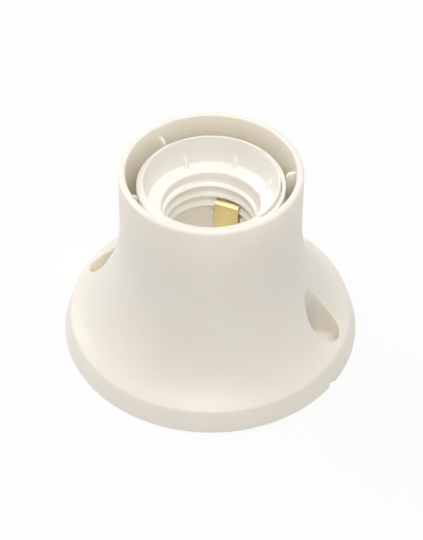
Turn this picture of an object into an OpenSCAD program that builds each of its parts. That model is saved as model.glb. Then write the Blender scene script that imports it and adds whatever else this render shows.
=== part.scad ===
// Ceiling lampholder for an E27 screw cap: a trumpet-shaped plastic housing with a
// threaded core inside it, and the contacts and wire terminals behind that core.
// The ceiling side is z = 0 and the lamp goes in from above.

/* [Housing] */
// Height of the housing, from the ceiling to its mouth
housing_h = 58.5; // [56.5:0.5:66]
// Diameter of the foot against the ceiling
foot_d = 85.2; // [84:0.2:100]
// Diameter of the shoulder on top of the foot band
shoulder_d = 79.6; // [79:0.2:80.4]
// Height of the shoulder above the ceiling
band_h = 7; // [6:0.2:8.4]
// Outside diameter of the neck just under the mouth
neck_d = 49.8; // [49.4:0.2:51]
// How much wider the neck's radius is where the flare begins
neck_draft = 0.2; // [0:0.1:0.5]
// Height at which the neck turns into the flare
flare_h = 42.6; // [41:0.2:45]
// Half-width of the flare's ellipse
flare_half_w = 20; // [17:0.5:26]
// Wall thickness
wall = 1.9; // [1.5:0.1:2.1]
// Radius of the mouth's outer edge
mouth_round = 0.9; // [0.4:0.1:1.2]
// Radius of the shoulder's edge
shoulder_round = 1.6; // [0.8:0.1:2.4]

/* [Fixing wells] */
// Distance of each screw well from the axis
well_ring_r = 33.5; // [33:0.1:33.9]
// Turn of the left well towards the back, from straight opposite the right one
left_well_turn = 4.2; // [0:0.1:8]
// Diameter of each screw well
well_d = 10.5; // [9.5:0.1:11]
// Wall of each screw well
well_wall = 1.4; // [1:0.1:1.6]
// Thickness of the well's floor
well_floor = 1.6; // [1:0.1:3]
// Diameter of the ceiling screw's hole
fixing_hole_d = 4.8; // [3.6:0.1:5.6]

/* [Guide ribs in the neck] */
// Thickness of each guide rib
guide_t = 1; // [0.6:0.1:1.4]
// Angle of each rib from the line through the right well
guide_angle = 30; // [20:1:40]
// Turn of all the guide ribs together
guide_turn = -2; // [-5:1:5]
// How much further round the front left rib stands
guide_skew = 9; // [0:1:15]
// Depth of the ribs' tops under the mouth
guide_depth = 3.6; // [1.5:0.1:4.5]
// Length of each guide rib
guide_h = 12.5; // [8:0.5:13]
// Radius of each rib's inner top corner
guide_round = 1.3; // [0.8:0.1:2.2]

/* [Nick in the foot] */
// Direction of the nick from the line through the right well
nick_angle = -16; // [-40:1:-12]
// Width of the nick
nick_w = 2.6; // [1:0.1:5]
// Height of the nick
nick_h = 1.1; // [0.5:0.1:2]
// Depth of the nick into the foot band
nick_depth = 1; // [0.5:0.1:1.4]

/* [Threaded core] */
// Turn of the whole core against the line through the right well
core_turn = -3; // [-6:1:6]
// Outside diameter of the core's skirt
skirt_d = 40.4; // [40:0.1:40.8]
// Height of the skirt's top edge
skirt_top = 53.6; // [52:0.1:54]
// Depth of the skirt
skirt_h = 12.6; // [8:0.2:13]
// Thickness of the skirt
skirt_t = 1; // [0.8:0.1:1.1]
// Height of the funnel's lip
lip_h = 54.7; // [54.2:0.1:55.4]
// Diameter of the funnel inside its lip
lip_d = 36.7; // [36.2:0.1:37]
// Thickness of the funnel's lip
lip_t = 0.4; // [0.3:0.1:0.5]
// Diameter at the foot of the funnel
ledge_d = 34.8; // [33:0.2:35.4]
// Height of the ledge at the foot of the funnel
ledge_h = 46.4; // [45:0.1:47.4]
// Fall of the ledge towards the bore
ledge_fall = 0.5; // [0.1:0.1:1]
// Wall of the core round the thread
core_wall = 1.6; // [1.4:0.1:1.9]
// Height of the core's foot
core_foot_h = 22.5; // [22:0.1:23]
// Thickness of the flange at the core's foot
flange_t = 2.2; // [1.8:0.1:3]

/* [Screw thread] */
// Diameter of the plain bore above the thread
bore_d = 27.2; // [27:0.1:27.6]
// Diameter between the thread's roots
thread_root_d = 26.65; // [26.5:0.05:26.8]
// Diameter between the thread's crests
thread_crest_d = 24.4; // [24.3:0.05:24.6]
// Rise of the thread in one turn
thread_pitch = 3.629; // [3.5:0.001:3.75]
// Number of crests
thread_crests = 3; // [2:1:3]
// Height of the first crest, on the side contact's side
thread_first_h = 41.5; // [40.5:0.1:42.5]

/* [Funnel details] */
// Thickness of each small rib in the funnel
rib_t = 0.85; // [0.4:0.05:1]
// Height of each small rib
rib_h = 3.1; // [2:0.1:5]
// How far each small rib stands on the ledge
rib_reach = 1.5; // [0.8:0.1:2]
// Angle between the small ribs
rib_step = 47; // [30:1:50]
// Widest opening of the crescent slit in the rim
slit_w = 0.5; // [0.3:0.05:0.7]
// Direction of the middle of the slit, in the core's own frame
slit_angle = 5; // [-10:1:10]
// Half of the angle that the slit spans
slit_half_span = 33; // [25:1:40]
// Rise of the raised land on the ledge
land_rise = 0.6; // [0.2:0.1:1]
// First end of the raised land, in the core's own frame
land_from = -70; // [-80:1:-40]
// Last end of the raised land
land_to = 43; // [20:1:44]

/* [Contact base] */
// Diameter of the contact base
base_d = 32.6; // [31:0.2:33]
// Thickness of the contact base
base_t = 5.5; // [5:0.1:6.5]
// Distance between the two core screws
core_screw_pitch = 39; // [38.4:0.2:39.6]
// Diameter of each lug that a core screw passes
lug_d = 6.4; // [6:0.1:7]
// Diameter of a core screw
core_screw_d = 2.8; // [2.4:0.1:3]
// Length of a core screw under its head
core_screw_l = 16; // [12:0.5:18]
// Depth of the boss that takes a core screw
boss_h = 13; // [11:0.5:15]
// Thickness of the wall between the terminals
barrier_t = 1.6; // [1:0.1:2]
// Height of that wall
barrier_h = 4.5; // [2:0.1:6]

/* [Contacts and terminals] */
// Thickness of the brass strips
strip_t = 0.6; // [0.4:0.1:0.8]
// Width of the brass strips
strip_w = 7.2; // [6:0.1:7.6]
// Distance of the upright strips from the axis, to their outer faces
strip_r = 12.1; // [11.8:0.1:12.3]
// Height of the side contact's top
side_top = 36.4; // [35.5:0.1:37]
// How far the side contact leans inwards
side_lean = 0.6; // [0.2:0.1:1]
// Height of the centre contact's tip
centre_top = 26.6; // [25:0.1:28]
// Distance of the terminal screws from the axis
terminal_r = 7.6; // [7.2:0.1:8]
// Diameter of the terminal screws
terminal_screw_d = 3.4; // [2.8:0.1:3.5]
// Diameter of the terminal screws' heads
terminal_head_d = 6.2; // [5.4:0.1:6.4]
// Thickness of the terminal screws' heads
terminal_head_h = 2.2; // [1.6:0.1:2.6]
// Side of the square clamping plates
plate_w = 6.8; // [6:0.1:7]
// Thickness of the square clamping plates
plate_t = 1.3; // [0.8:0.1:1.6]
// Side of the square nuts
nut_w = 6; // [5.5:0.1:6.4]
// Thickness of the square nuts
nut_t = 2.6; // [2:0.1:3]
// Diameter of the eyelets that hold the strips
eyelet_d = 2.2; // [1.8:0.1:2.6]

/* [Hidden] */
$fn = 96;
arc_steps = 24;
eps = 0.01;
cut = 1;

// Clearances
slide_gap = 0.3;
run_gap = 0.08;
seat_gap = 0.05;

// Housing
foot_r = foot_d / 2;
shoulder_r = shoulder_d / 2;
neck_r = neck_d / 2;
flare_r = neck_r + neck_draft;
flare_end = acos(1 - (shoulder_r - flare_r) / flare_half_w);
flare_half_h = (flare_h - band_h) / sin(flare_end);
mouth_lip = 0.4;
inside_foot_h = band_h - wall;
column_r = well_d / 2 + well_wall;

// Core
skirt_r = skirt_d / 2;
skirt_in = skirt_r - skirt_t;
skirt_foot = skirt_top - skirt_h;
lip_r = lip_d / 2;
ledge_r = ledge_d / 2;
bore_r = bore_d / 2;
root_r = thread_root_d / 2;
crest_r = thread_crest_d / 2;
core_r = root_r + core_wall;
ledge_t = 1.5;
funnel_t = 1;
lead_in_foot = thread_first_h + thread_pitch * 0.36 + 0.5;
rim_bridge = 1.6;
flange_r = base_d / 2;
lug_r = lug_d / 2;
lug_x = core_screw_pitch / 2;
window_w = strip_w + 2 * slide_gap;
window_r = root_r + core_wall / 2;
window_top = side_top + 0.6;
pip_w = 1.4;
pip_h = 1.6;
pip_in = 0.9;
pip_foot = 30.4;
pip_x = window_w / 2 + pip_w / 2;
pip_y = sqrt(root_r * root_r - pip_x * pip_x);

// Thread: the section of one crest, as points from its top down. The crests are rings here.
ridge_half = thread_pitch * 0.36;
ridge_steps = 8;
function ridge(z) = [for (k = [0:ridge_steps]) let (t = 180 * k / ridge_steps)
    [root_r - (root_r - crest_r) * sin(t), z + ridge_half * cos(t)]];

// Slit: the part of a shifted circle that reaches beyond the lip
slit_lip_r = lip_r + lip_t;
slit_shift = slit_w / (1 - cos(slit_half_span));
slit_r = slit_lip_r + slit_w - slit_shift;

// Levels behind the core
base_top = core_foot_h;
base_foot = base_top - base_t;
tab_foot = base_foot - strip_t;
plate_foot = tab_foot - plate_t;
head_foot = plate_foot - terminal_head_h;
boss_foot = core_foot_h + flange_t;
core_head_h = 2;
core_head_d = 5.6;
screw_tip = base_top - 1.6;
head_slot_w = 0.9;
head_slot_depth = 1.1;
tab_in = terminal_r - plate_w / 2 - 0.6;
ear_x = 7.8;
ear_y = 6;
ear_r = 2.4;
eyelet_head_d = 3.8;
eyelet_head_t = 0.4;
eyelet_wall = 0.45;
hook_w = 1.9;
hook_drop = 1.6;
tongue_reach = 2.2;

ivory = "#ece6d8";
white = "#f8f7f2";
grey = "#d5d0c6";
brass = "#d9bb6c";
steel = "#c4c6c8";

// A point on the flare: t is 0 at the neck and 1 at the shoulder, in is the depth
// under the outer surface.
function flare_point(t, in = 0) =
    let (a = flare_end * t)
    let (nr = flare_half_h * cos(a), nz = flare_half_w * sin(a))
    let (n = sqrt(nr * nr + nz * nz))
    [flare_r + flare_half_w * (1 - cos(a)) - in * nr / n,
     flare_h - flare_half_h * sin(a) - in * nz / n];

// Points of an arc round [cr, cz], from one angle to another
function arc(cr, cz, r, from, to, steps = 8) =
    [for (i = [0:steps]) let (a = from + (to - from) * i / steps) [cr + r * cos(a), cz + r * sin(a)]];

// The outline of a strip of thickness t along a path of points
function unit(v) = v / norm(v);
function left_of(v) = [-v[1], v[0]];
function miter(path, i) =
    let (n = len(path))
    let (before = unit(path[max(i, 1)] - path[max(i, 1) - 1]))
    let (after = unit(path[min(i + 1, n - 1)] - path[min(i + 1, n - 1) - 1]))
    let (m = unit(left_of(before) + left_of(after)))
    m / (m * left_of(after));
function ribbon(path, t) = concat(
    [for (i = [0:len(path) - 1]) path[i] + miter(path, i) * t / 2],
    [for (i = [len(path) - 1:-1:0]) path[i] - miter(path, i) * t / 2]);

module core_frame() {
    rotate([0, 0, core_turn]) children();
}

module housing_outside() {
    flare_stop = 0.93;
    rotate_extrude($fn = 144)
        polygon(concat(
            [[0, 0], [foot_r, 0]],
            arc(flare_point(1)[0] - shoulder_round * 0.35, band_h - shoulder_round,
                shoulder_round, 10, 60),
            [for (i = [arc_steps:-1:0]) flare_point(flare_stop * i / arc_steps)],
            arc(neck_r - mouth_round, housing_h - mouth_round, mouth_round, 0, 90),
            [[0, housing_h]]));
}

module housing_inside() {
    flare_stop = 0.97;
    rotate_extrude($fn = 144)
        polygon(concat(
            [[0, -cut], [foot_r - wall, -cut], [foot_r - wall, 0], [shoulder_r - wall, inside_foot_h]],
            [for (i = [arc_steps:-1:0]) flare_point(flare_stop * i / arc_steps, wall)],
            [[neck_r - wall, housing_h - mouth_lip]],
            arc(neck_r - wall + mouth_lip, housing_h - mouth_lip, mouth_lip, 180, 90, 4),
            [[neck_r - wall + mouth_lip, housing_h + cut], [0, housing_h + cut]]));
}

// One thin wall in the neck that keeps the core central
module guide_rib() {
    rib_in = skirt_r + slide_gap;
    rib_out = neck_r - wall / 2;
    rib_top = housing_h - guide_depth;
    translate([0, guide_t / 2, 0])
        rotate([90, 0, 0])
            linear_extrude(guide_t)
                polygon(concat(
                    [[rib_in, rib_top - guide_h], [rib_out, rib_top - guide_h], [rib_out, rib_top]],
                    arc(rib_in + guide_round, rib_top - guide_round, guide_round, 90, 180)));
}

module at_each_well() {
    for (a = [0, 180 - left_well_turn])
        rotate([0, 0, a]) translate([well_ring_r, 0, 0]) children();
}

module at_each_lug() {
    for (side = [-1, 1])
        translate([side * lug_x, 0, 0]) children();
}

// The boss that takes a core screw, with the web that ties it to the neck
module screw_boss() {
    translate([lug_x, 0, boss_foot]) cylinder(r = lug_r, h = boss_h);
    translate([lug_x, -guide_t, boss_foot]) cube([neck_r - lug_x + wall, 2 * guide_t, boss_h]);
}

module housing() {
    color(ivory)
    difference() {
        union() {
            difference() {
                housing_outside();
                housing_inside();
            }
            intersection() {
                at_each_well() cylinder(r = column_r, h = flare_h);
                housing_outside();
            }
            for (a = [-guide_angle, guide_angle, 180 - guide_angle, 180 + guide_angle + guide_skew])
                rotate([0, 0, a + guide_turn]) guide_rib();
            intersection() {
                for (a = [0, 180]) rotate([0, 0, core_turn + a]) screw_boss();
                housing_outside();
            }
        }
        at_each_well() translate([0, 0, well_floor]) cylinder(d = well_d, h = housing_h);
        at_each_well() translate([0, 0, -cut]) cylinder(d = fixing_hole_d, h = well_floor + 2 * cut);
        core_frame() at_each_lug()
            translate([0, 0, boss_foot - cut])
                cylinder(d = core_screw_d + 2 * seat_gap, h = boss_h - 1 + cut);
        rotate([0, 0, nick_angle])
            translate([foot_r - nick_depth, -nick_w / 2, -cut])
                cube([nick_depth + cut, nick_w, nick_h + cut]);
    }
}

module lug_plate(h) {
    cylinder(r = flange_r, h = h);
    for (side = [0, 180]) rotate([0, 0, side]) {
        translate([lug_x, 0, 0]) cylinder(r = lug_r, h = h);
        translate([0, -lug_r, 0]) cube([lug_x, 2 * lug_r, h]);
    }
}

module core_body() {
    rotate_extrude()
        polygon(concat([
            [root_r, core_foot_h], [core_r, core_foot_h], [core_r, ledge_h - ledge_t],
            [ledge_r + funnel_t - ledge_t / 2, ledge_h - ledge_t],
            [ledge_r + funnel_t, ledge_h], [slit_lip_r + eps, skirt_top - rim_bridge],
            [skirt_in, skirt_top - rim_bridge], [skirt_in, skirt_foot],
            [skirt_r, skirt_foot], [skirt_r, skirt_top - 0.2], [skirt_r - 0.2, skirt_top],
            [skirt_in, skirt_top + 0.15], [slit_lip_r, lip_h - 0.25], [slit_lip_r - 0.15, lip_h],
            [lip_r + 0.1, lip_h], [lip_r, lip_h - 0.15],
            [ledge_r, ledge_h], [bore_r + 0.15, ledge_h - ledge_fall],
            [bore_r, ledge_h - ledge_fall - 0.15], [bore_r, lead_in_foot], [root_r, lead_in_foot - 0.4]],
            [for (i = [0:thread_crests - 1]) each ridge(thread_first_h - i * thread_pitch)]));
}

// A wedge of a turn, wide enough to reach past the core
module sector(from, to) {
    reach = 2 * skirt_r;
    rotate([0, 0, from])
        rotate_extrude(angle = to - from)
            square([reach, housing_h]);
}

module threaded_core() {
    color(white)
    core_frame()
    difference() {
        union() {
            core_body();
            translate([0, 0, core_foot_h]) lug_plate(flange_t);
            for (a = [for (side = [90, -90]) for (k = [-1:1]) side + k * rib_step])
                rotate([0, 0, a])
                    translate([ledge_r - rib_reach, -rib_t / 2, ledge_h - ledge_fall])
                        cube([rib_reach + funnel_t / 2, rib_t, rib_h + ledge_fall]);
            intersection() {
                translate([0, 0, ledge_h - ledge_t])
                    difference() {
                        cylinder(r = ledge_r + eps, h = ledge_t + land_rise);
                        translate([0, 0, -cut]) cylinder(r = bore_r, h = ledge_t + land_rise + 2 * cut);
                    }
                sector(land_from, land_to);
            }
            // Small blocks on the bore's wall, one on each side of the window
            for (x = [-pip_x, pip_x])
                translate([x - pip_w / 2, pip_y - pip_in, pip_foot])
                    cube([pip_w, pip_in + core_wall / 2, pip_h]);
        }
        translate([0, 0, core_foot_h - cut]) cylinder(r = root_r, h = flange_t + cut + eps);
        rotate([0, 0, slit_angle]) crescent();
        at_each_lug() translate([0, 0, core_foot_h - cut])
            cylinder(d = core_screw_d + 2 * slide_gap, h = flange_t + 2 * cut);
        intersection() {
            translate([-window_w / 2, 0, core_foot_h - cut])
                cube([window_w, window_r + cut, window_top - core_foot_h + cut]);
            cylinder(r = window_r, h = housing_h);
        }
    }
}

module crescent() {
    slit_foot = skirt_top - 2 * rim_bridge;
    difference() {
        translate([slit_shift, 0, slit_foot]) cylinder(r = slit_r, h = 3 * rim_bridge);
        translate([0, 0, slit_foot - cut]) cylinder(r = slit_lip_r, h = 3 * rim_bridge + 2 * cut);
    }
}

// What the base and the two contact strips share is drawn once, for the +Y side.
module mirror_side(side) {
    rotate([0, 0, side > 0 ? 0 : 180]) children();
}

module contact_base() {
    color(grey)
    core_frame()
    difference() {
        union() {
            translate([0, 0, base_foot]) lug_plate(base_t);
            translate([-base_d / 2 + 1, -barrier_t / 2, base_foot - barrier_h])
                cube([base_d - 2, barrier_t, barrier_h + eps]);
        }
        at_each_lug() translate([0, 0, base_foot - cut])
            cylinder(d = core_screw_d + 2 * slide_gap, h = base_t + 2 * cut);
        for (side = [1, -1]) mirror_side(side) {
            translate([-strip_w / 2 - seat_gap, strip_r - strip_t - seat_gap, base_foot - cut])
                cube([strip_w + 2 * seat_gap, strip_t + 2 * seat_gap, base_t + 2 * cut]);
            translate([-nut_w / 2 - seat_gap, terminal_r - nut_w / 2 - seat_gap, base_foot - cut])
                cube([nut_w + 2 * seat_gap, nut_w + 2 * seat_gap, nut_t + cut]);
            translate([0, terminal_r, base_foot])
                cylinder(r = terminal_screw_d / 2 + slide_gap, h = screw_tip + slide_gap - base_foot);
            translate([ear_x, ear_y, base_foot - cut])
                cylinder(d = eyelet_d + 2 * seat_gap, h = base_t + 2 * cut);
        }
    }
}

// The flat tab under the base, with its ear for the eyelet
module terminal_tab() {
    difference() {
        union() {
            translate([-strip_w / 2, tab_in, tab_foot])
                cube([strip_w, strip_r - strip_t / 2 - tab_in, strip_t]);
            translate([0, ear_y - ear_r, tab_foot]) cube([ear_x, 2 * ear_r, strip_t]);
            translate([ear_x, ear_y, tab_foot]) cylinder(r = ear_r, h = strip_t);
        }
        translate([0, terminal_r, tab_foot - cut])
            cylinder(r = terminal_screw_d / 2 + run_gap, h = strip_t + 2 * cut);
        translate([ear_x, ear_y, tab_foot - cut])
            cylinder(d = eyelet_d + 2 * seat_gap, h = strip_t + 2 * cut);
    }
}

// A bent strip of the full width, its path given in the plane of Y and Z
module bent_strip(path) {
    translate([-strip_w / 2, 0, 0])
        rotate([90, 0, 90])
            linear_extrude(strip_w)
                polygon(ribbon(path, strip_t));
}

module side_contact() {
    y = strip_r - strip_t / 2;
    leaned = y - side_lean;
    knee = base_top + 4;
    color(brass)
    core_frame() {
        terminal_tab();
        bent_strip(concat(
            [[y, tab_foot], [y, knee]],
            [[leaned, side_top - hook_w]],
            arc(leaned + hook_w / 2, side_top - hook_w / 2 - strip_t / 2, hook_w / 2, 180, 0, 6),
            [[leaned + hook_w, side_top - hook_drop - hook_w / 2]]));
    }
}

module centre_contact() {
    y = strip_r - strip_t / 2;
    knee = base_top + 1.2;
    color(brass)
    core_frame() mirror_side(-1) {
        terminal_tab();
        bent_strip([
            [y, tab_foot], [y, knee], [y - 0.8, knee + 0.7], [0.6, centre_top - strip_t / 2],
            [-0.6, centre_top - strip_t / 2], [-tongue_reach, centre_top - 1.4]]);
    }
}

module eyelet(side) {
    half = eyelet_d / 2;
    bore = half - eyelet_wall;
    head = eyelet_head_d / 2;
    color(brass)
    core_frame() mirror_side(side) translate([ear_x, ear_y, 0])
        rotate_extrude($fn = 48)
            polygon([
                [bore, tab_foot - eyelet_head_t], [head, tab_foot - eyelet_head_t], [head, tab_foot],
                [half, tab_foot], [half, base_top], [head, base_top],
                [head, base_top + eyelet_head_t], [bore, base_top + eyelet_head_t]]);
}

module square_nut(side) {
    color(brass)
    core_frame() mirror_side(side) translate([0, terminal_r, base_foot])
        difference() {
            translate([-nut_w / 2, -nut_w / 2, 0]) cube([nut_w, nut_w, nut_t - seat_gap]);
            translate([0, 0, -cut]) cylinder(r = terminal_screw_d / 2 + run_gap, h = nut_t + 2 * cut);
        }
}

// A square plate with two grooves that grip the wire
module clamp_plate(side) {
    groove_r = 0.7;
    color(steel)
    core_frame() mirror_side(side) translate([0, terminal_r, plate_foot])
        difference() {
            translate([-plate_w / 2, -plate_w / 2, 0]) cube([plate_w, plate_w, plate_t]);
            translate([0, 0, -cut]) cylinder(r = terminal_screw_d / 2 + run_gap, h = plate_t + 2 * cut);
            for (x = [-1, 1])
                translate([x * (plate_w / 2 - 1), plate_w / 2 + cut, plate_t])
                    rotate([90, 0, 0]) cylinder(r = groove_r, h = plate_w + 2 * cut, $fn = 32);
        }
}

// A pan-head screw that points up: its head's outer face is at z = foot
module pan_screw(foot, head_d, head_h, shank_d, tip) {
    edge = 0.6;
    difference() {
        rotate_extrude($fn = 64)
            polygon([
                [0, foot], [head_d / 2 - edge, foot], [head_d / 2, foot + edge],
                [head_d / 2, foot + head_h], [shank_d / 2, foot + head_h],
                [shank_d / 2, tip - edge], [shank_d / 2 - edge, tip], [0, tip]]);
        translate([-head_d, -head_slot_w / 2, foot - cut])
            cube([2 * head_d, head_slot_w, head_slot_depth + cut]);
    }
}

module terminal_screw(side) {
    color(steel)
    core_frame() mirror_side(side) translate([0, terminal_r, 0])
        pan_screw(head_foot, terminal_head_d, terminal_head_h, terminal_screw_d, screw_tip);
}

module core_screw(side) {
    foot = base_foot - core_head_h;
    color(steel)
    core_frame() translate([side * lug_x, 0, 0])
        pan_screw(foot, core_head_d, core_head_h, core_screw_d, base_foot + core_screw_l);
}

housing();
threaded_core();
contact_base();
centre_contact();
side_contact();
eyelet(-1);  // centre_eyelet
eyelet(1);  // side_eyelet
square_nut(-1);  // centre_nut
square_nut(1);  // side_nut
clamp_plate(-1);  // centre_clamp_plate
clamp_plate(1);  // side_clamp_plate
terminal_screw(-1);  // centre_terminal_screw
terminal_screw(1);  // side_terminal_screw
core_screw(-1);  // left_core_screw
core_screw(1);  // right_core_screw
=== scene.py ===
"""A plastic ceiling lampholder for an E27 cap, dressed and lit as a studio product shot.

Lengths are in metres. Heights and radii that belong to the moulded shapes are written
in millimetres and multiplied by MM where a mesh is made.
"""
import math

import bmesh
import bpy
from mathutils import Matrix, Vector


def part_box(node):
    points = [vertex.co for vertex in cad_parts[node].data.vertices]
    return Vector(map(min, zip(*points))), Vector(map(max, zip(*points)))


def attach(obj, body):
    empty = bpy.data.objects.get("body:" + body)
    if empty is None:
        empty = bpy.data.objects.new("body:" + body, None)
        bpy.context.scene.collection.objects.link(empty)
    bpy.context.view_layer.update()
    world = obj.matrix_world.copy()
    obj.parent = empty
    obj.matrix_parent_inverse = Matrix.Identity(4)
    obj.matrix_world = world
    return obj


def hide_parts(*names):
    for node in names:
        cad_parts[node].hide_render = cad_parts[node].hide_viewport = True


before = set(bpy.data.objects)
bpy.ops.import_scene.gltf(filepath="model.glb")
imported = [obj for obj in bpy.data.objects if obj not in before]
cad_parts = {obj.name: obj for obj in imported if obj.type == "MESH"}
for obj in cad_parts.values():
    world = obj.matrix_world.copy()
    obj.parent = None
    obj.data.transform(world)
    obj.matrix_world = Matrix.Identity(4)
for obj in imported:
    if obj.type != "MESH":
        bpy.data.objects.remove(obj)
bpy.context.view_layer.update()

MM = 0.001
IMAGE_W, IMAGE_H = 423, 540
TURN = 2 * math.pi
FILLET_STEPS = 4
SHARP_DEGREES = 38


def node_box(node):
    """A node's lowest and highest corners in millimetres."""
    low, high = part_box(node)
    return low / MM, high / MM


HOUSING_LOW, HOUSING_HIGH = node_box("housing")
CORE_LOW, CORE_HIGH = node_box("threaded_core")

# Housing, in millimetres
FOOT_R = 42.6
MOUTH_H = HOUSING_HIGH.z
WALL = 1.9
NECK_R = 24.9
FLARE_R = 25.1
FLARE_H = 42.6
FLARE_HALF_W = 20.0
SHOULDER_R = 39.8
SHOULDER_H = 7.0
SHOULDER_ROUND = 1.6
MOUTH_ROUND = 0.9
FLARE_END = math.acos(1 - (SHOULDER_R - FLARE_R) / FLARE_HALF_W)
FLARE_HALF_H = (FLARE_H - SHOULDER_H) / math.sin(FLARE_END)

# Fixing wells
WELL_RING_R = 33.5
WELL_ANGLES = (0, 175.8)
WELL_R = 5.25
WELL_WALL = 1.4
WELL_FLOOR = 1.6
WELL_LIP = 0.3
FIXING_HOLE_R = 2.4

# Guide ribs in the neck
GUIDE_ANGLES = (28, 148, 217, 328)
GUIDE_T = 1.0
GUIDE_TOP = MOUTH_H - 3.6
GUIDE_LENGTH = 12.5
GUIDE_ROUND = 1.3

# Nick in the foot's edge
NICK_ANGLE = math.radians(-16)
NICK_HALF_W = 1.3
NICK_H = 1.1
NICK_DEPTH = 1.0

# Threaded core, in its own frame
CORE_TURN = math.radians(-3)
SKIRT_R = 20.2
SKIRT_TOP = 53.6
SKIRT_FOOT = 41.0
SKIRT_T = 1.0
LIP_R = 18.35
LIP_T = 0.4
LIP_H = CORE_HIGH.z
LEDGE_R = 17.4
LEDGE_H = 46.4
LEDGE_FALL = 0.5
BORE_R = 13.6
ROOT_R = 13.325
CREST_R = 12.2
CORE_WALL = 1.6
CORE_FOOT = CORE_LOW.z
FLANGE_T = 2.2
FLANGE_R = 16.3
LUG_X = 19.5
LUG_R = 3.2
CORE_SCREW_R = 1.4
BOSS_H = 13.0

# Thread, with the heights over which its crests grow and fade
PITCH = 3.629
FIRST_CREST_H = 41.4
RIDGE_HALF = 0.34
RIDGE_POWER = 0.8
THREAD_START = (31.7, 33.2)
THREAD_END = (42.0, 43.2)
LEAD_IN_H = FIRST_CREST_H + PITCH * 0.36 + 0.5

# Window for the side contact, and the pips beside it
WINDOW_HALF = 3.9
WINDOW_R = ROOT_R + CORE_WALL / 2
WINDOW_TOP = 37.0
PIP_W = 1.4
PIP_H = 1.6
PIP_IN = 0.9
PIP_FOOT = 30.4
PIP_X = WINDOW_HALF + PIP_W / 2

# Crescent slit in the rim
SLIT_W = 0.5
SLIT_ANGLE = math.radians(5)
SLIT_HALF_SPAN = math.radians(33)
SLIT_DEPTH = 1.5

# Raised land and ribs on the ledge
LAND_FROM = math.radians(-70)
LAND_TO = math.radians(43)
LAND_RISE = 0.6
RIB_REACH = 1.5
RIB_H = 3.1
RIB_T = 0.85
RIB_ANGLES = tuple(side + step for side in (90, 270) for step in (-47, 0, 47))


# Mesh tools

def smooth_object(name, bm):
    """Makes an object from a bmesh, smooth except across its sharp edges."""
    bmesh.ops.recalc_face_normals(bm, faces=bm.faces)
    mesh = bpy.data.meshes.new(name)
    bm.to_mesh(mesh)
    bm.free()
    mesh.shade_smooth()
    mesh.set_sharp_from_angle(angle=math.radians(SHARP_DEGREES))
    obj = bpy.data.objects.new(name, mesh)
    bpy.context.scene.collection.objects.link(obj)
    return obj


def fillet(corners):
    """Rounds the corners (r, z, radius) of an outline; every corner gives the same count."""
    count = len(corners)
    points = []
    for i, (r, z, radius) in enumerate(corners):
        here = Vector((r, z))
        before = Vector(corners[i - 1][:2]) - here
        after = Vector(corners[(i + 1) % count][:2]) - here
        a = here + before.normalized() * min(radius, before.length * 0.45)
        b = here + after.normalized() * min(radius, after.length * 0.45)
        for k in range(FILLET_STEPS + 1):
            t = k / FILLET_STEPS
            points.append(a * (1 - t) ** 2 + here * 2 * t * (1 - t) + b * t * t)
    return points


def lathe(bm, outline_at, angles):
    """Sweeps an outline round Z. outline_at(angle) gives its (r, z) points in millimetres."""
    rings = []
    for angle in angles:
        c, s = math.cos(angle), math.sin(angle)
        rings.append([bm.verts.new((p[0] * c * MM, p[0] * s * MM, p[1] * MM))
                      for p in outline_at(angle)])
    size = len(rings[0])
    for i, ring in enumerate(rings):
        other = rings[(i + 1) % len(rings)]
        for k in range(size):
            j = (k + 1) % size
            bm.faces.new((ring[k], ring[j], other[j], other[k]))


def even_angles(count):
    return [TURN * i / count for i in range(count)]


def prism(bm, outline, low, high, matrix=Matrix.Identity(4), bevel=0.0):
    """A closed prism over a flat outline of (x, y) points, all in millimetres."""
    part = bmesh.new()
    foot = [part.verts.new((x * MM, y * MM, low * MM)) for x, y in outline]
    top = [part.verts.new((x * MM, y * MM, high * MM)) for x, y in outline]
    part.faces.new(foot[::-1])
    part.faces.new(top)
    count = len(outline)
    for i in range(count):
        j = (i + 1) % count
        part.faces.new((foot[i], foot[j], top[j], top[i]))
    if bevel:
        part.normal_update()
        edges = [e for e in part.edges if e.calc_face_angle(0) > math.radians(40)]
        bmesh.ops.bevel(part, geom=edges, offset=bevel * MM, segments=3, affect="EDGES",
                        profile=0.5, clamp_overlap=True)
    bmesh.ops.recalc_face_normals(part, faces=part.faces)
    part.transform(matrix)
    merge(bm, part)


def merge(bm, part):
    """Copies a bmesh into another and frees it."""
    mesh = bpy.data.meshes.new("part")
    part.to_mesh(mesh)
    part.free()
    bm.from_mesh(mesh)
    bpy.data.meshes.remove(mesh)


def disc(radius, x=0.0, y=0.0, count=64):
    return [(x + radius * math.cos(a), y + radius * math.sin(a)) for a in even_angles(count)]


def combine(obj, bm, operation):
    """Joins a closed bmesh to an object, or cuts it out, and keeps the result as the mesh."""
    tool = smooth_object("tool", bm)
    modifier = obj.modifiers.new("combine", "BOOLEAN")
    modifier.operation = operation
    modifier.solver = "EXACT"
    modifier.object = tool
    evaluated = obj.evaluated_get(bpy.context.evaluated_depsgraph_get())
    mesh = bpy.data.meshes.new_from_object(evaluated)
    obj.modifiers.remove(modifier)
    old = obj.data
    obj.data = mesh
    mesh.name = old.name
    bpy.data.meshes.remove(old)
    used = tool.data
    bpy.data.objects.remove(tool)
    bpy.data.meshes.remove(used)


def finish_shape(obj):
    """Welds slivers, makes triangles of the many-sided faces and sets the shading."""
    bm = bmesh.new()
    bm.from_mesh(obj.data)
    bmesh.ops.remove_doubles(bm, verts=bm.verts, dist=0.004 * MM)
    bmesh.ops.dissolve_degenerate(bm, edges=bm.edges, dist=0.002 * MM)
    bmesh.ops.triangulate(bm, faces=[f for f in bm.faces if len(f.verts) > 4])
    bm.to_mesh(obj.data)
    bm.free()
    obj.data.shade_smooth()
    obj.data.set_sharp_from_angle(angle=math.radians(SHARP_DEGREES))


# Housing

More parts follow.
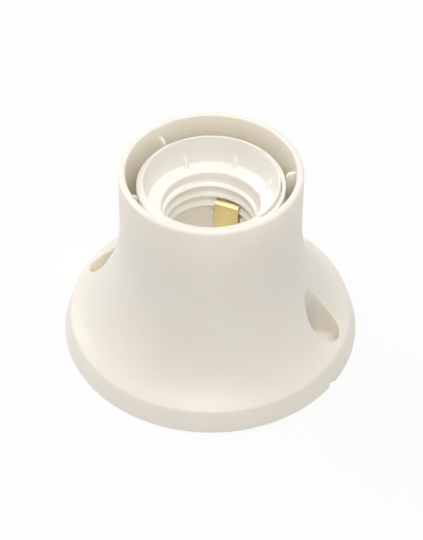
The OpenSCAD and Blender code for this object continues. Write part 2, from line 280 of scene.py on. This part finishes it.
def flare_point(t, depth=0.0):
    """A point of the flare, 0 at the neck to 1 at the shoulder, at a depth under its skin."""
    a = FLARE_END * t
    normal = Vector((FLARE_HALF_H * math.cos(a), FLARE_HALF_W * math.sin(a))).normalized()
    return (Vector((FLARE_R + FLARE_HALF_W * (1 - math.cos(a)), FLARE_H - FLARE_HALF_H * math.sin(a)))
            - normal * depth)


def skin_height(r):
    """Height of the housing's outer skin at a radius on the flare or its shoulder."""
    centre_r = SHOULDER_R - SHOULDER_ROUND * 0.35
    centre_z = SHOULDER_H - SHOULDER_ROUND
    start_r = centre_r + SHOULDER_ROUND * math.cos(math.radians(60))
    if r > start_r:
        across = min(r - centre_r, SHOULDER_ROUND)
        return centre_z + math.sqrt(SHOULDER_ROUND ** 2 - across ** 2)
    share = 1 - (max(r, FLARE_R) - FLARE_R) / FLARE_HALF_W
    return FLARE_H - FLARE_HALF_H * math.sqrt(1 - share * share)


def housing_outline():
    """The housing's section, from the foot's inner edge round to itself."""
    steps = 40
    centre = Vector((SHOULDER_R - SHOULDER_ROUND * 0.35, SHOULDER_H - SHOULDER_ROUND))
    foot_in = FOOT_R - WALL
    points = [Vector((foot_in, 0.15)), Vector((foot_in + 0.15, 0))]
    points += [Vector((FOOT_R - 0.5 + 0.5 * math.sin(a), 0.5 - 0.5 * math.cos(a)))
               for a in (math.radians(d) for d in (0, 25, 50, 75))]
    points += [centre + SHOULDER_ROUND * Vector((math.cos(a), math.sin(a)))
               for a in (math.radians(d) for d in range(8, 61, 6))]
    points += [flare_point(0.93 * i / steps) for i in range(steps, -1, -1)]
    points += [Vector((NECK_R + 0.1, (FLARE_H + MOUTH_H) / 2))]
    points += [Vector((NECK_R - MOUTH_ROUND + MOUTH_ROUND * math.cos(a),
                       MOUTH_H - MOUTH_ROUND + MOUTH_ROUND * math.sin(a)))
               for a in (math.radians(d) for d in range(0, 91, 10))]
    inner_round = 0.4
    points += [Vector((NECK_R - WALL + inner_round - inner_round * math.sin(a),
                       MOUTH_H - inner_round + inner_round * math.cos(a)))
               for a in (math.radians(d) for d in range(0, 91, 18))]
    points += [flare_point(0.97 * i / steps, WALL) for i in range(0, steps + 1)]
    points += [Vector((SHOULDER_R - WALL, SHOULDER_H - WALL))]
    return points


def add_guide_rib(bm, degrees):
    inner = SKIRT_R + 0.3
    outer = NECK_R - WALL / 2
    foot = GUIDE_TOP - GUIDE_LENGTH
    arc = [(inner + GUIDE_ROUND - GUIDE_ROUND * math.sin(a),
            GUIDE_TOP - GUIDE_ROUND + GUIDE_ROUND * math.cos(a))
           for a in (math.radians(d) for d in range(0, 91, 15))]
    outline = [(outer, GUIDE_TOP)] + arc + [(inner, foot), (outer, foot)]
    stand = Matrix.Rotation(math.radians(degrees), 4, "Z") @ Matrix.Rotation(math.pi / 2, 4, "X")
    prism(bm, outline, -GUIDE_T / 2, GUIDE_T / 2, stand, bevel=0.3)


def add_column(bm, turn):
    """The outside of a well, closed on top inside the wall of the flare."""
    x = WELL_RING_R
    radius = WELL_R + WELL_WALL
    cover = WALL * 0.45
    sides = 72
    shares = (1.0, 0.8, 0.6, 0.4, 0.2)
    rings = [[bm.verts.new(turn @ Vector(((x + radius * math.cos(a)) * MM, radius * math.sin(a) * MM, 0)))
              for a in even_angles(sides)]]
    for share in shares:
        ring = []
        for a in even_angles(sides):
            px, py = x + share * radius * math.cos(a), share * radius * math.sin(a)
            pz = skin_height(math.hypot(px, py)) - cover
            ring.append(bm.verts.new(turn @ Vector((px * MM, py * MM, pz * MM))))
        rings.append(ring)
    for low, high in zip(rings, rings[1:]):
        for i in range(sides):
            j = (i + 1) % sides
            bm.faces.new((low[i], low[j], high[j], high[i]))
    bm.faces.new(rings[0][::-1])
    bm.faces.new(rings[-1])


def add_well(bm, turn):
    """The hollow of a well, with a rounded lip that follows the flare."""
    x = WELL_RING_R
    sides = 96
    lip_steps = 5
    above = 60.0
    floor_round = 1.8
    rings = []
    for k in range(5):
        a = math.radians(90 * k / 4)
        rings.append([(WELL_R - floor_round + floor_round * math.sin(a),
                       WELL_FLOOR + floor_round - floor_round * math.cos(a))] * sides)
    lip = []
    for k in range(lip_steps + 1):
        t = k / lip_steps
        ring = []
        for a in even_angles(sides):
            at_wall = skin_height(math.hypot(x + WELL_R * math.cos(a), WELL_R * math.sin(a)))
            far = WELL_R + WELL_LIP
            at_end = skin_height(math.hypot(x + far * math.cos(a), far * math.sin(a))) - 0.01
            radius = WELL_R * (1 - t * t) + far * t * t
            height = ((at_wall - WELL_LIP) * (1 - t) ** 2 + at_wall * 2 * t * (1 - t) + at_end * t * t)
            ring.append((radius, height))
        lip.append(ring)
    rings += lip
    rings.append([(WELL_R + WELL_LIP, above)] * sides)
    verts = [[bm.verts.new(turn @ Vector(((x + r * math.cos(a)) * MM, r * math.sin(a) * MM, z * MM)))
              for (r, z), a in zip(ring, even_angles(sides))] for ring in rings]
    for low, high in zip(verts, verts[1:]):
        for i in range(sides):
            j = (i + 1) % sides
            bm.faces.new((low[i], low[j], high[j], high[i]))
    bm.faces.new(verts[0][::-1])
    bm.faces.new(verts[-1])


def make_housing():
    outline = housing_outline()
    bm = bmesh.new()
    lathe(bm, lambda angle: outline, even_angles(288))
    shell = smooth_object("housing_shell", bm)

    added = bmesh.new()
    for degrees in GUIDE_ANGLES:
        add_guide_rib(added, degrees)
    well_turns = [Matrix.Rotation(math.radians(degrees), 4, "Z") for degrees in WELL_ANGLES]
    for turn in well_turns:
        add_column(added, turn)
    boss_foot = CORE_FOOT + FLANGE_T
    for side in (0, math.pi):
        turn = Matrix.Rotation(CORE_TURN + side, 4, "Z")
        reach = NECK_R - WALL / 2
        web = [(LUG_X, -GUIDE_T), (reach, -GUIDE_T), (reach, GUIDE_T), (LUG_X, GUIDE_T)]
        arc = [(LUG_X + LUG_R * math.cos(a), LUG_R * math.sin(a))
               for a in (math.radians(d) for d in range(18, 343, 9))]
        prism(added, arc + web[1:3], boss_foot, boss_foot + BOSS_H, turn)
    combine(shell, added, "UNION")

    cut = bmesh.new()
    for turn in well_turns:
        add_well(cut, turn)
    combine(shell, cut, "DIFFERENCE")

    holes = bmesh.new()
    for turn in well_turns:
        prism(holes, disc(FIXING_HOLE_R, WELL_RING_R), -1, WELL_FLOOR + 1, turn)
    for side in (-1, 1):
        pilot = disc(CORE_SCREW_R + 0.05, side * LUG_X, 0, 32)
        prism(holes, pilot, boss_foot - 1, boss_foot + BOSS_H - 1, Matrix.Rotation(CORE_TURN, 4, "Z"))
    nick = [(FOOT_R - NICK_DEPTH, -NICK_HALF_W), (FOOT_R + 1, -NICK_HALF_W),
            (FOOT_R + 1, NICK_HALF_W), (FOOT_R - NICK_DEPTH, NICK_HALF_W)]
    prism(holes, nick, -1, NICK_H, Matrix.Rotation(NICK_ANGLE, 4, "Z"))
    combine(shell, holes, "DIFFERENCE")
    finish_shape(shell)
    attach(shell, "holder")
    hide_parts("housing")
    return shell


# Threaded core

def ease(low, high, value):
    """0 below low, 1 above high and a smooth step between them."""
    t = min(1.0, max(0.0, (value - low) / (high - low)))
    return t * t * (3 - 2 * t)


def thread_radius(angle, z):
    """Radius of the bore's wall with its helical thread."""
    phase = (z - FIRST_CREST_H) / PITCH - (angle - math.pi / 2) / TURN
    turn = round(phase)
    crest = z - (phase - turn) * PITCH
    fade = ease(*THREAD_START, crest) * (1 - ease(*THREAD_END, crest))
    across = min(1.0, abs(phase - turn) / RIDGE_HALF)
    rise = (0.5 + 0.5 * math.cos(math.pi * across)) ** RIDGE_POWER
    return ROOT_R - (ROOT_R - CREST_R) * rise * fade


def bore_radius(angle, z):
    """The thread's radius, or the back of the window that clears the side contact."""
    radius = thread_radius(angle, z)
    in_window = math.sin(angle) > 0 and abs(WINDOW_R * math.cos(angle)) < WINDOW_HALF
    return WINDOW_R if in_window and z < WINDOW_TOP else radius


def signed(angle):
    return (angle + math.pi) % TURN - math.pi


def slit_outer(angle):
    """Radius of the slit's outer wall: part of a circle moved away from the axis."""
    lip = LIP_R + LIP_T
    shift = SLIT_W / (1 - math.cos(SLIT_HALF_SPAN))
    radius = lip + SLIT_W - shift
    off = signed(angle - SLIT_ANGLE)
    if abs(off) >= SLIT_HALF_SPAN:
        return lip
    return max(lip, shift * math.cos(off) + math.sqrt(radius ** 2 - (shift * math.sin(off)) ** 2))


def core_outline(angle):
    """The core's section at an angle, from the bore's foot up, over the rim and back down."""
    lip = LIP_R + LIP_T
    ring_in = slit_outer(angle)
    gap = ring_in - lip
    open_share = min(1.0, gap / 0.12)
    ring_top = SKIRT_TOP + 0.15 + (LIP_H - SKIRT_TOP - 0.4) * (1 - open_share)
    slit_floor_in = LIP_H - 0.25 - SLIT_DEPTH * open_share
    slit_floor_out = ring_top - SLIT_DEPTH * open_share
    on_land = LAND_FROM < signed(angle) < LAND_TO
    rise = LAND_RISE if on_land else 0.0
    fall = 0.0 if on_land else LEDGE_FALL
    rows = 96
    points = [Vector((bore_radius(angle, z), z)) for z in
              (CORE_FOOT + (LEAD_IN_H - CORE_FOOT) * k / rows for k in range(rows + 1))]
    corners = [
        (ROOT_R, CORE_FOOT, 0),
        (ROOT_R + 0.12, LEAD_IN_H + 0.6, 0.5),
        (BORE_R, LEDGE_H - fall + rise, 0.5),
        (LEDGE_R, LEDGE_H + rise, 0.3),
        (LIP_R, LIP_H, 0.16),
        (lip, LIP_H, 0.2),
        (lip, slit_floor_in, 0.02),
        (ring_in + 0.001, slit_floor_out, 0.02),
        (ring_in + 0.002, ring_top, 0.18),
        (SKIRT_R, SKIRT_TOP, 0.3),
        (SKIRT_R, SKIRT_FOOT, 0.2),
        (SKIRT_R - SKIRT_T, SKIRT_FOOT, 0.2),
        (SKIRT_R - SKIRT_T, 51.2, 0.4),
        (LEDGE_R + 1.3, 50.2, 0.2),
        (LEDGE_R + 0.6, LEDGE_H - 1.5, 0.3),
        (ROOT_R + CORE_WALL, LEDGE_H - 1.5, 0.3),
        (ROOT_R + CORE_WALL, CORE_FOOT, 0.1),
    ]
    return points + fillet(corners)[FILLET_STEPS + 1:]


def core_angles():
    """Even steps round the core, with the steps of the window and the land kept sharp."""
    sharp = 0.0006
    window = math.asin(WINDOW_HALF / WINDOW_R)
    steps = [math.pi / 2 - window, math.pi / 2 + window, LAND_FROM % TURN, LAND_TO % TURN]
    angles = even_angles(300)
    angles = [a for a in angles if all(abs(signed(a - s)) > 0.004 for s in steps)]
    for s in steps:
        angles += [(s - sharp) % TURN, (s + sharp) % TURN]
    return sorted(angles)


def add_funnel_rib(bm, degrees):
    foot = LEDGE_H - 0.6
    outline = [(LEDGE_R - RIB_REACH, foot), (LEDGE_R + 0.5, foot), (LEDGE_R + 0.5, LEDGE_H + RIB_H),
               (LEDGE_R, LEDGE_H + RIB_H), (LEDGE_R - RIB_REACH, LEDGE_H + RIB_H * 0.4)]
    stand = Matrix.Rotation(math.radians(degrees), 4, "Z") @ Matrix.Rotation(math.pi / 2, 4, "X")
    prism(bm, outline, -RIB_T / 2, RIB_T / 2, stand, bevel=0.25)


def lug_outline():
    """Outline of the flange: a disc with two round lugs."""
    points = []
    neck_angle = math.asin(LUG_R / FLANGE_R)
    for side in (0, math.pi):
        start = side + neck_angle
        turn = math.pi - 2 * neck_angle
        points += [(FLANGE_R * math.cos(start + turn * k / 24), FLANGE_R * math.sin(start + turn * k / 24))
                   for k in range(25)]
        lug = side + math.pi
        points += [(LUG_X * math.cos(lug) + LUG_R * math.cos(lug - math.pi / 2 + math.pi * k / 16),
                    LUG_X * math.sin(lug) + LUG_R * math.sin(lug - math.pi / 2 + math.pi * k / 16))
                   for k in range(17)]
    return points


def make_core():
    bm = bmesh.new()
    lathe(bm, core_outline, core_angles())
    core = smooth_object("core_shell", bm)

    ribs = bmesh.new()
    for x in (-PIP_X, PIP_X):
        y = math.sqrt(ROOT_R ** 2 - x * x)
        block = [(x - PIP_W / 2, y - PIP_IN), (x + PIP_W / 2, y - PIP_IN),
                 (x + PIP_W / 2, y + CORE_WALL / 2), (x - PIP_W / 2, y + CORE_WALL / 2)]
        prism(ribs, block, PIP_FOOT, PIP_FOOT + PIP_H, bevel=0.2)
    for degrees in RIB_ANGLES:
        add_funnel_rib(ribs, degrees)
    combine(core, ribs, "UNION")

    flange = bmesh.new()
    prism(flange, lug_outline(), CORE_FOOT, CORE_FOOT + FLANGE_T, bevel=0.2)
    flange_object = smooth_object("flange", flange)
    holes = bmesh.new()
    prism(holes, disc(ROOT_R + CORE_WALL / 2, count=120), CORE_FOOT - 1, CORE_FOOT + FLANGE_T + 1)
    for side in (-1, 1):
        prism(holes, disc(CORE_SCREW_R + 0.3, side * LUG_X, 0, 32), CORE_FOOT - 1, CORE_FOOT + FLANGE_T + 1)
    combine(flange_object, holes, "DIFFERENCE")
    ring = bmesh.new()
    ring.from_mesh(flange_object.data)
    bpy.data.objects.remove(flange_object)
    merge_target = bmesh.new()
    merge_target.from_mesh(core.data)
    merge(merge_target, ring)
    merge_target.to_mesh(core.data)
    merge_target.free()
    core.data.transform(Matrix.Rotation(CORE_TURN, 4, "Z"))
    finish_shape(core)
    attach(core, "holder")
    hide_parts("threaded_core")
    return core


# Materials

def start_material(name):
    """A material with a Principled shader, and the object's own coordinates in millimetres."""
    material = bpy.data.materials.new(name)
    material.use_nodes = True
    tree = material.node_tree
    tree.nodes.clear()
    output = tree.nodes.new("ShaderNodeOutputMaterial")
    shader = tree.nodes.new("ShaderNodeBsdfPrincipled")
    tree.links.new(shader.outputs["BSDF"], output.inputs["Surface"])
    place = tree.nodes.new("ShaderNodeTexCoord")
    scale = tree.nodes.new("ShaderNodeVectorMath")
    scale.operation = "SCALE"
    scale.inputs["Scale"].default_value = 1 / MM
    tree.links.new(place.outputs["Object"], scale.inputs[0])
    return material, tree, shader, scale.outputs["Vector"]


def noise(tree, vector, size_mm, detail=3.0, roughness=0.5):
    """A noise texture whose features are about size_mm across."""
    node = tree.nodes.new("ShaderNodeTexNoise")
    node.inputs["Scale"].default_value = 1 / size_mm
    node.inputs["Detail"].default_value = detail
    node.inputs["Roughness"].default_value = roughness
    tree.links.new(vector, node.inputs["Vector"])
    return node.outputs["Fac"]


def spread(tree, value, low, high, from_low=0.3, from_high=0.7):
    """Maps a texture's middle range to low..high."""
    node = tree.nodes.new("ShaderNodeMapRange")
    node.inputs["From Min"].default_value = from_low
    node.inputs["From Max"].default_value = from_high
    node.inputs["To Min"].default_value = low
    node.inputs["To Max"].default_value = high
    tree.links.new(value, node.inputs["Value"])
    return node.outputs["Result"]


def blend_colours(tree, factor, first, second):
    node = tree.nodes.new("ShaderNodeMix")
    node.data_type = "RGBA"
    node.inputs["A"].default_value = (*first, 1)
    node.inputs["B"].default_value = (*second, 1)
    tree.links.new(factor, node.inputs["Factor"])
    return node.outputs["Result"]


def bump(tree, height, depth_mm, normal=None):
    node = tree.nodes.new("ShaderNodeBump")
    node.inputs["Strength"].default_value = 1.0
    node.inputs["Distance"].default_value = depth_mm * MM
    tree.links.new(height, node.inputs["Height"])
    if normal is not None:
        tree.links.new(normal, node.inputs["Normal"])
    return node.outputs["Normal"]


def moulded_plastic(name, colour, shade, roughness, subsurface, depth_mm):
    """Injection-moulded plastic: faint flow marks, a fine tool texture and a soft gloss."""
    material, tree, shader, place = start_material(name)
    flow = noise(tree, place, 14, detail=2)
    speck = noise(tree, place, 0.9, detail=4, roughness=0.6)
    grain = noise(tree, place, 0.22, detail=2)
    tree.links.new(blend_colours(tree, spread(tree, flow, 0, 1), colour, shade), shader.inputs["Base Color"])
    tree.links.new(spread(tree, speck, roughness - 0.05, roughness + 0.06), shader.inputs["Roughness"])
    wavy = bump(tree, flow, 0.05)
    tree.links.new(bump(tree, grain, 0.004, wavy), shader.inputs["Normal"])
    shader.inputs["IOR"].default_value = 1.5
    shader.inputs["Subsurface Weight"].default_value = subsurface
    shader.inputs["Subsurface Radius"].default_value = (1.0, 0.95, 0.8)
    shader.inputs["Subsurface Scale"].default_value = depth_mm * MM
    return material


def rolled_metal(name, colour, tarnish, roughness, line_mm):
    """Rolled strip: fine lines along one direction and faint clouds of tarnish."""
    material, tree, shader, place = start_material(name)
    stretch = tree.nodes.new("ShaderNodeVectorMath")
    stretch.operation = "MULTIPLY"
    stretch.inputs[1].default_value = (1.0, 1.0, 0.06)
    tree.links.new(place, stretch.inputs[0])
    lines = noise(tree, stretch.outputs["Vector"], line_mm, detail=3)
    clouds = noise(tree, place, 2.6, detail=4, roughness=0.6)
    shade = blend_colours(tree, spread(tree, clouds, 0, 1), colour, tarnish)
    tree.links.new(shade, shader.inputs["Base Color"])
    tree.links.new(spread(tree, clouds, roughness - 0.06, roughness + 0.1), shader.inputs["Roughness"])
    tree.links.new(bump(tree, lines, 0.006), shader.inputs["Normal"])
    shader.inputs["Metallic"].default_value = 1.0
    return material


def dress(obj, material):
    obj.data.materials.clear()
    obj.data.materials.append(material)


def dress_node(node, material):
    """Gives a carried-over node its finish."""
    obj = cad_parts[node]
    for slot in obj.material_slots:
        slot.material = material


ivory = moulded_plastic("ivory_moulding", (0.93, 0.877, 0.787), (0.915, 0.857, 0.764), 0.36, 0.8, 2.6)
white = moulded_plastic("white_moulding", (0.965, 0.945, 0.895), (0.955, 0.932, 0.875), 0.34, 0.25, 1.2)
pale_grey = moulded_plastic("grey_moulding", (0.88, 0.84, 0.75), (0.85, 0.81, 0.72), 0.5, 0.1, 1.0)
brass = rolled_metal("rolled_brass", (0.98, 0.88, 0.53), (0.94, 0.81, 0.44), 0.44, 0.12)
zinc = rolled_metal("zinc_plate", (0.66, 0.67, 0.68), (0.55, 0.56, 0.60), 0.36, 0.18)

dress(make_housing(), ivory)
dress(make_core(), white)
dress_node("contact_base", pale_grey)
for part in ("centre_contact", "side_contact", "centre_eyelet", "side_eyelet", "centre_nut", "side_nut"):
    dress_node(part, brass)
for part in ("centre_clamp_plate", "side_clamp_plate", "centre_terminal_screw", "side_terminal_screw",
             "left_core_screw", "right_core_screw"):
    dress_node(part, zinc)


# Camera: solved from the ellipses of the rims and the foot

VIEW_AZIMUTH = math.radians(19.7)
VIEW_ELEVATION = math.radians(44.82)
VIEW_ROLL = math.radians(0.35)
VIEW_DISTANCE = 0.4415
VIEW_RIGHT = 0.00026
VIEW_UP = 0.01474
FOCAL_PIXELS = 1500
SENSOR = 36.0


def make_camera():
    turn = Matrix.Rotation(VIEW_AZIMUTH, 3, "Z")
    right = turn @ Vector((1, 0, 0))
    up = turn @ Vector((0, math.sin(VIEW_ELEVATION), math.cos(VIEW_ELEVATION)))
    back = turn @ Vector((0, -math.cos(VIEW_ELEVATION), math.sin(VIEW_ELEVATION)))
    axes = Matrix((right, up, back)).transposed() @ Matrix.Rotation(VIEW_ROLL, 3, "Z")
    data = bpy.data.cameras.new("camera")
    data.sensor_width = SENSOR
    data.lens = FOCAL_PIXELS * SENSOR / IMAGE_H
    data.clip_start = 0.01
    camera = bpy.data.objects.new("camera", data)
    camera.matrix_world = (Matrix.Translation(right * VIEW_RIGHT + up * VIEW_UP + back * VIEW_DISTANCE)
                           @ axes.to_4x4())
    bpy.context.scene.collection.objects.link(camera)
    bpy.context.scene.camera = camera
    return turn


WHITE = (1.0, 1.0, 1.0)
FRONT_TINT = (1.0, 0.965, 0.955)
LIT_POINT = (0, 0, 0.03)

# Name, place as the camera sees it, size, watts and colour of each soft box
LIGHTS = (
    ("above", (0, 0, 0.9), 0.6, 3.0, WHITE),
    ("left", (-0.55, 0.4, 0.5), 0.5, 2.8, WHITE),
    ("right", (0.55, 0.3, 0.55), 0.5, 1.15, WHITE),
    ("high_front", (0, -0.55, 0.75), 0.4, 2.2, FRONT_TINT),
    ("front", (0, -0.75, 0.55), 0.5, 0.75, FRONT_TINT),
)
FILL_COLOUR = (1.0, 0.95, 0.88, 1)
FILL_STRENGTH = 0.16
FLOOR_GLOW_SHARE = 0.86


def add_light(name, place, aim, size, power, tint):
    """A square soft box at a place, turned to what it lights."""
    data = bpy.data.lights.new(name, "AREA")
    data.color = tint
    data.size = size
    data.energy = power
    light = bpy.data.objects.new(name, data)
    light.location = place
    light.rotation_euler = (Vector(aim) - Vector(place)).to_track_quat("-Z", "Y").to_euler()
    bpy.context.scene.collection.objects.link(light)


def seen_directly(tree):
    """1 for rays from the camera, and for those that a shiny or clear surface sends on."""
    path = tree.nodes.new("ShaderNodeLightPath")
    first = tree.nodes.new("ShaderNodeMath")
    first.operation = "MAXIMUM"
    second = tree.nodes.new("ShaderNodeMath")
    second.operation = "MAXIMUM"
    tree.links.new(path.outputs["Is Camera Ray"], first.inputs[0])
    tree.links.new(path.outputs["Is Glossy Ray"], first.inputs[1])
    tree.links.new(first.outputs["Value"], second.inputs[0])
    tree.links.new(path.outputs["Is Transmission Ray"], second.inputs[1])
    return second.outputs["Value"]


def make_world():
    world = bpy.data.worlds.new("studio")
    bpy.context.scene.world = world
    world.use_nodes = True
    tree = world.node_tree
    tree.nodes.clear()
    output = tree.nodes.new("ShaderNodeOutputWorld")
    mix = tree.nodes.new("ShaderNodeMixShader")
    fill = tree.nodes.new("ShaderNodeBackground")
    fill.inputs["Color"].default_value = FILL_COLOUR
    fill.inputs["Strength"].default_value = FILL_STRENGTH
    backdrop = tree.nodes.new("ShaderNodeBackground")
    backdrop.inputs["Color"].default_value = (1, 1, 1, 1)
    backdrop.inputs["Strength"].default_value = 1.0
    tree.links.new(seen_directly(tree), mix.inputs[0])
    tree.links.new(fill.outputs["Background"], mix.inputs[1])
    tree.links.new(backdrop.outputs["Background"], mix.inputs[2])
    tree.links.new(mix.outputs["Shader"], output.inputs["Surface"])


def make_floor():
    bm = bmesh.new()
    bmesh.ops.create_grid(bm, x_segments=4, y_segments=4, size=1.5)
    floor = smooth_object("floor", bm)
    floor.location.z = -0.0002
    material = bpy.data.materials.new("floor")
    material.use_nodes = True
    tree = material.node_tree
    tree.nodes.clear()
    output = tree.nodes.new("ShaderNodeOutputMaterial")
    mix = tree.nodes.new("ShaderNodeMixShader")
    matt = tree.nodes.new("ShaderNodeBsdfDiffuse")
    matt.inputs["Color"].default_value = (0.88, 0.88, 0.88, 1)
    glow = tree.nodes.new("ShaderNodeEmission")
    glow.inputs["Color"].default_value = (1, 1, 1, 1)
    glow.inputs["Strength"].default_value = 1.0
    share = tree.nodes.new("ShaderNodeMath")
    share.operation = "MULTIPLY"
    share.inputs[1].default_value = FLOOR_GLOW_SHARE
    tree.links.new(seen_directly(tree), share.inputs[0])
    tree.links.new(share.outputs["Value"], mix.inputs[0])
    tree.links.new(matt.outputs["BSDF"], mix.inputs[1])
    tree.links.new(glow.outputs["Emission"], mix.inputs[2])
    tree.links.new(mix.outputs["Shader"], output.inputs["Surface"])
    floor.data.materials.append(material)


view_turn = make_camera()
make_world()
make_floor()
for name, place, size, power, tint in LIGHTS:
    add_light(name, view_turn @ Vector(place), LIT_POINT, size, power, tint)
bpy.context.scene.view_settings.view_transform = 'Standard'
